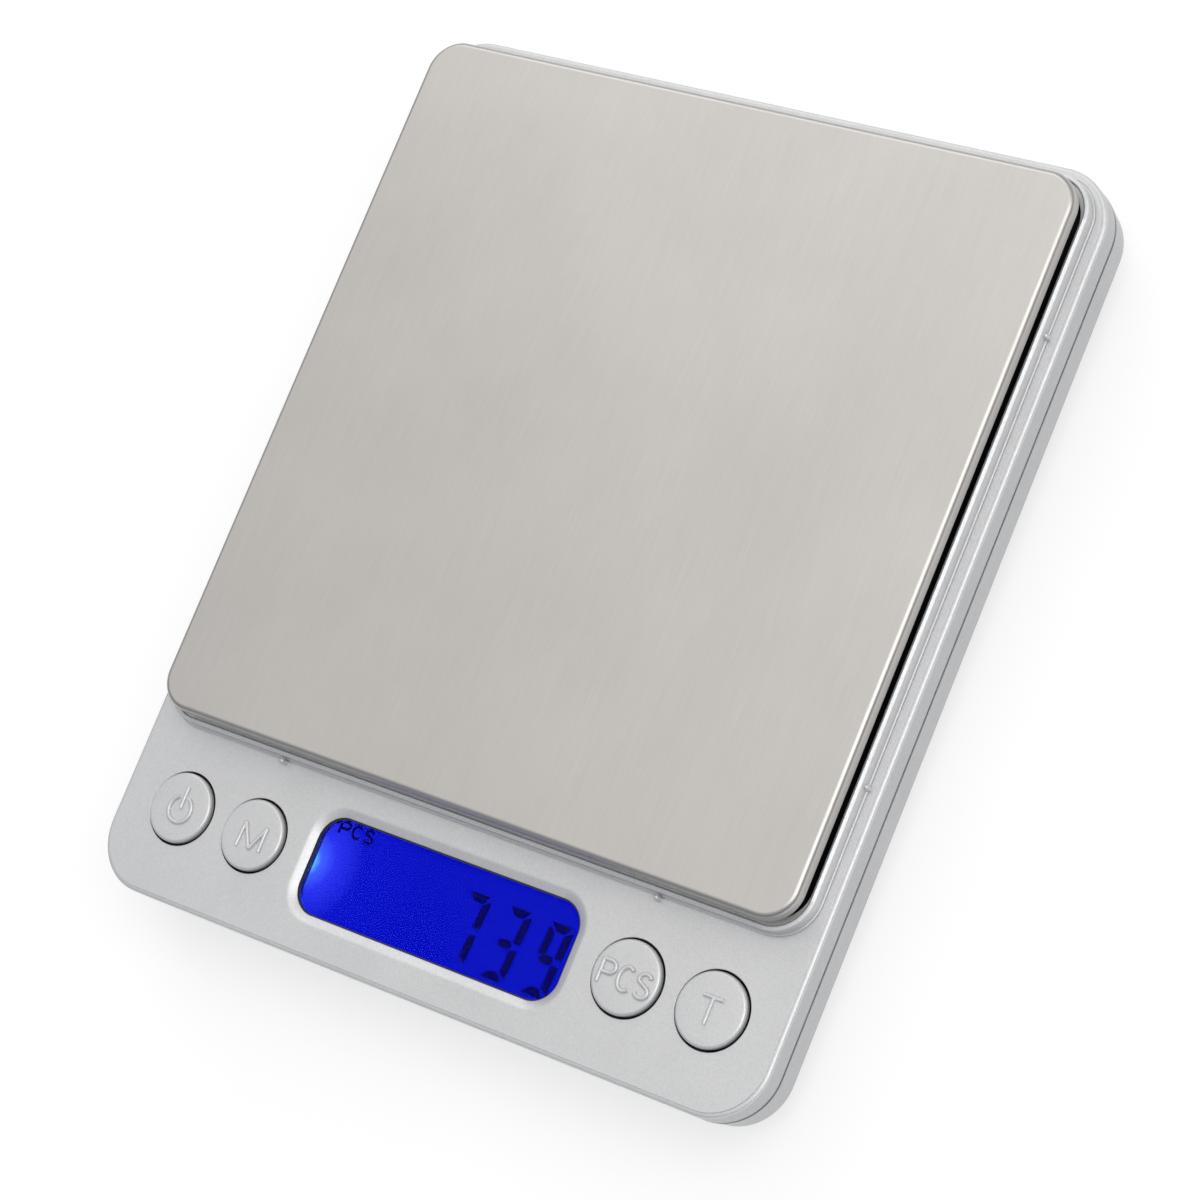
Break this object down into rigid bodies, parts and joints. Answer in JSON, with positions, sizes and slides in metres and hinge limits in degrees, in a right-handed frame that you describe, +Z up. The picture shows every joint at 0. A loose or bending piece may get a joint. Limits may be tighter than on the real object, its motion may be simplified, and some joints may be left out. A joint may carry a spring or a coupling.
{
  "type": "digital gram scale",
  "caption": "Flat silver table scale with a square steel weighing pan, a backlit display between round keys, and a battery door underneath.",
  "frame": {"origin": "on the table, under the centre of the case", "axes": "+Z up; -Y is the front, with the keys and display; +Y is the rear, where the pan lies; +X is to the user's right"},
  "size_m": [0.1064, 0.127, 0.019],
  "materials": {
    "silver_paint": "fine silver paint over moulded ABS, satin",
    "steel_pan": "stainless sheet brushed front to back, faintly smudged",
    "aluminium": "machined, natural",
    "bright_screw": "zinc plated",
    "dark_screw": "black zinc plated",
    "grey_abs": "moulded, matt",
    "black_abs": "moulded, satin",
    "foot_rubber": "grey rubber, matt",
    "lens_acrylic": "clear polished acrylic",
    "display_blue": "liquid crystal glass, blue ground lit from behind",
    "light_guide": "milky light guide",
    "led_white": "light emitting diode body",
    "board_green": "solder mask over glass laminate",
    "epoxy": "black potting epoxy",
    "silicone": "white silicone",
    "foam_tape": "white double-sided foam tape",
    "cell_jacket": "printed shrink jacket, plain green",
    "nickel": "nickel plated spring steel",
    "lead_red": "insulated lead",
    "lead_black": "insulated lead",
    "lead_green": "insulated lead",
    "lead_white": "insulated lead"
  },
  "bodies": {
    "case": {"upper_shell": "silver_paint", "lower_shell": "silver_paint", "foot_front_left": "foot_rubber", "foot_front_right": "foot_rubber", "foot_rear_left": "foot_rubber", "foot_rear_right": "foot_rubber", "case_screw_front_left": "dark_screw", "case_screw_front_right": "dark_screw", "case_screw_rear_left": "dark_screw", "case_screw_rear_right": "dark_screw", "load_cell": "aluminium", "gauge_seal_top": "silicone", "gauge_seal_under": "silicone", "fixed_end_spacer": "aluminium", "load_cell_screw_1": "dark_screw", "load_cell_screw_2": "dark_screw", "power_switch": "black_abs", "mode_switch": "black_abs", "count_switch": "black_abs", "tare_switch": "black_abs", "display_lens": "lens_acrylic", "display_glass": "display_blue", "backlight_guide": "light_guide", "backlight_led": "led_white", "display_connector_strip": "silicone", "circuit_board": "board_green", "processor_dome": "epoxy", "converter_chip": "black_abs", "board_screw_left": "dark_screw", "board_screw_right": "dark_screw", "battery_front": "cell_jacket", "battery_rear": "cell_jacket", "contact_bridge": "nickel", "contact_positive": "nickel", "contact_negative": "nickel", "spring_bridge": "nickel", "spring_negative": "nickel", "cell_lead_red": "lead_red", "cell_lead_black": "lead_black", "cell_lead_green": "lead_green", "cell_lead_white": "lead_white", "battery_lead_red": "lead_red", "battery_lead_black": "lead_black"},
    "platform": {"weighing_pan": "steel_pan", "pan_carrier": "grey_abs", "pan_tape_left": "foam_tape", "pan_tape_right": "foam_tape", "free_end_spacer": "aluminium", "platform_screw_1": "bright_screw", "platform_screw_2": "bright_screw"},
    "door": {"battery_door": "silver_paint"},
    "power_button": {"power_key": "silver_paint", "power_plunger": "grey_abs"},
    "mode_button": {"mode_key": "silver_paint", "mode_plunger": "grey_abs"},
    "count_button": {"count_key": "silver_paint", "count_plunger": "grey_abs"},
    "tare_button": {"tare_key": "silver_paint", "tare_plunger": "grey_abs"}
  },
  "joints": [
    {"name": "platform_travel", "type": "slide", "parent": "case", "child": "platform", "axis": [0, 0, -1], "range_m": [0, 0.0004], "stiffness_N_per_m": 25000, "deforming": ["load_cell"]},
    {"name": "door_hinge", "type": "hinge", "parent": "case", "child": "door", "pos_m": [0, 0.05615, 0.0012], "axis": [1, 0, 0], "range_deg": [0, 70]},
    {"name": "power_press", "type": "slide", "parent": "case", "child": "power_button", "axis": [0, 0, -1], "range_m": [0, 0.0004], "stiffness_N_per_m": 4000},
    {"name": "mode_press", "type": "slide", "parent": "case", "child": "mode_button", "axis": [0, 0, -1], "range_m": [0, 0.0004], "stiffness_N_per_m": 4000},
    {"name": "count_press", "type": "slide", "parent": "case", "child": "count_button", "axis": [0, 0, -1], "range_m": [0, 0.0004], "stiffness_N_per_m": 4000},
    {"name": "tare_press", "type": "slide", "parent": "case", "child": "tare_button", "axis": [0, 0, -1], "range_m": [0, 0.0004], "stiffness_N_per_m": 4000}
  ]
}
